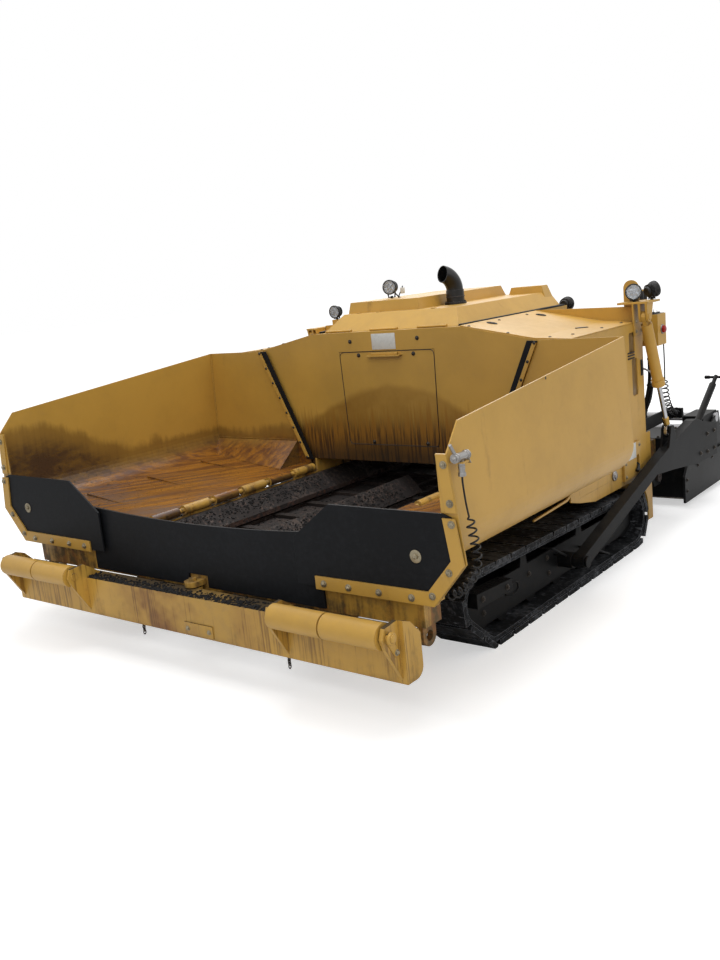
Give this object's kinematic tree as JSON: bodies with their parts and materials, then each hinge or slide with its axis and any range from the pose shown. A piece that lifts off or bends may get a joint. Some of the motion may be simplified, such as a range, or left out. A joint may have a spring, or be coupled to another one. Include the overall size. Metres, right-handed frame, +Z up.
{
  "type": "asphalt paver",
  "caption": "Crawler asphalt paver with folding hopper wings, slat conveyor, swinging push beam, spreading augers and a towed screed with sliding extensions.",
  "frame": {"origin": "on the ground under the middle of the bounding box, tracks standing on Z = 0", "axes": "+X to the left side of the machine, -Y to the front (push beam), +Y to the rear (screed), +Z up"},
  "size_m": [3.3078, 4.755, 1.8427],
  "materials": {
    "yellow_paint": "semi-gloss",
    "black_paint": "semi-gloss, dusty",
    "worn_plate": "worn and stained",
    "chain_steel": "worn",
    "iron": "matt",
    "track_rubber": "matt",
    "sheet_rubber": "matt",
    "hose_rubber": "satin",
    "lamp_plastic": "matt",
    "seat_vinyl": "satin",
    "screed_steel": "ground",
    "rod_chrome": "polished",
    "cast_grey": "satin",
    "cord_plastic": "satin"
  },
  "bodies": {
    "tractor": {"chassis": "yellow_paint", "conveyor_bed": "worn_plate", "conveyor_chains": "chain_steel", "body_shell": "yellow_paint", "bolted_covers": "yellow_paint", "engine_block": "iron", "track_left": "track_rubber", "track_right": "track_rubber", "track_wheels": "black_paint", "track_frames": "black_paint", "fenders": "yellow_paint", "lamp_towers": "yellow_paint", "tower_lamps": "lamp_plastic", "operator_deck": "black_paint", "seat_frames": "black_paint", "seat_cushions": "seat_vinyl", "consoles": "yellow_paint", "centre_flap": "sheet_rubber", "auger_hangers": "black_paint", "hose_bundles": "hose_rubber", "console_lead": "cord_plastic", "console_coil": "cord_plastic"},
    "wing_l": {"wing_left": "yellow_paint", "wing_rubber_left": "sheet_rubber", "wing_strips_left": "yellow_paint", "spray_gun": "cast_grey", "gun_coil": "cord_plastic"},
    "wing_r": {"wing_right": "yellow_paint", "wing_rubber_right": "sheet_rubber", "wing_strips_right": "yellow_paint"},
    "beam": {"push_beam": "yellow_paint"},
    "roller_l": {"push_roller_left": "yellow_paint"},
    "roller_r": {"push_roller_right": "yellow_paint"},
    "lid": {"engine_lid": "yellow_paint", "exhaust_stack": "iron", "lid_lamp": "lamp_plastic"},
    "screed": {"tow_arms": "black_paint", "screed_frame": "black_paint", "screed_plate": "screed_steel", "depth_cranks": "black_paint"},
    "extension_l": {"extension_left": "black_paint"},
    "extension_r": {"extension_right": "black_paint"},
    "barrel_l": {"lift_barrel_left": "yellow_paint"},
    "barrel_r": {"lift_barrel_right": "yellow_paint"},
    "rod_l": {"lift_rod_left": "rod_chrome"},
    "rod_r": {"lift_rod_right": "rod_chrome"},
    "screw_l": {"auger_left": "chain_steel"},
    "screw_r": {"auger_right": "chain_steel"}
  },
  "joints": [
    {"name": "wing_left_fold", "type": "hinge", "parent": "tractor", "child": "wing_l", "pos_m": [0.672, -1.235, 0.6], "axis": [0, -1, 0], "range_deg": [0, 50]},
    {"name": "wing_right_fold", "type": "hinge", "parent": "tractor", "child": "wing_r", "pos_m": [-0.672, -1.235, 0.6], "axis": [0, 1, 0], "range_deg": [0, 50]},
    {"name": "beam_swing", "type": "hinge", "parent": "tractor", "child": "beam", "pos_m": [0, -2.1225, 0.365], "axis": [0, 0, 1], "range_deg": [-2, 2]},
    {"name": "roller_left_spin", "type": "hinge", "parent": "beam", "child": "roller_l", "pos_m": [1.04, -2.3205, 0.425], "axis": [1, 0, 0], "continuous": true},
    {"name": "roller_right_spin", "type": "hinge", "parent": "beam", "child": "roller_r", "pos_m": [-1.04, -2.3205, 0.425], "axis": [1, 0, 0], "continuous": true},
    {"name": "lid_hinge", "type": "hinge", "parent": "tractor", "child": "lid", "pos_m": [0, -0.3095, 1.4953], "axis": [1, 0, 0], "range_deg": [0, 45]},
    {"name": "screed_lift", "type": "hinge", "parent": "tractor", "child": "screed", "pos_m": [0, -0.5125, 0.19], "axis": [1, 0, 0], "range_deg": [-0.7, 7]},
    {"name": "extension_left_slide", "type": "slide", "parent": "screed", "child": "extension_l", "axis": [1, 0, 0], "range_m": [0, 1]},
    {"name": "extension_right_slide", "type": "slide", "parent": "screed", "child": "extension_r", "axis": [-1, 0, 0], "range_m": [0, 1]},
    {"name": "auger_left_spin", "type": "hinge", "parent": "tractor", "child": "screw_l", "pos_m": [0.6, 1.1595, 0.27], "axis": [1, 0, 0], "continuous": true},
    {"name": "auger_right_spin", "type": "hinge", "parent": "tractor", "child": "screw_r", "pos_m": [-0.6, 1.1595, 0.27], "axis": [1, 0, 0], "continuous": true},
    {"name": "cylinder_left_swing", "type": "hinge", "parent": "tractor", "child": "barrel_l", "pos_m": [1.328, 0.5155, 1.42], "axis": [1, 0, 0], "range_deg": [-0.24, 0.07]},
    {"name": "cylinder_left_stroke", "type": "slide", "parent": "barrel_l", "child": "rod_l", "axis": [0, -0.3714, 0.9285], "range_m": [-0.019, 0.174]},
    {"name": "cylinder_right_swing", "type": "hinge", "parent": "tractor", "child": "barrel_r", "pos_m": [-1.328, 0.5155, 1.42], "axis": [1, 0, 0], "range_deg": [-0.24, 0.07]},
    {"name": "cylinder_right_stroke", "type": "slide", "parent": "barrel_r", "child": "rod_r", "axis": [0, -0.3714, 0.9285], "range_m": [-0.019, 0.174]}
  ],
  "couplings": [
    {"joint": "cylinder_left_swing", "follows": "screed_lift", "ratio": -0.0272},
    {"joint": "cylinder_left_stroke", "follows": "screed_lift", "m_per_rad": 1.4116},
    {"joint": "cylinder_right_swing", "follows": "screed_lift", "ratio": -0.0272},
    {"joint": "cylinder_right_stroke", "follows": "screed_lift", "m_per_rad": 1.4116}
  ]
}
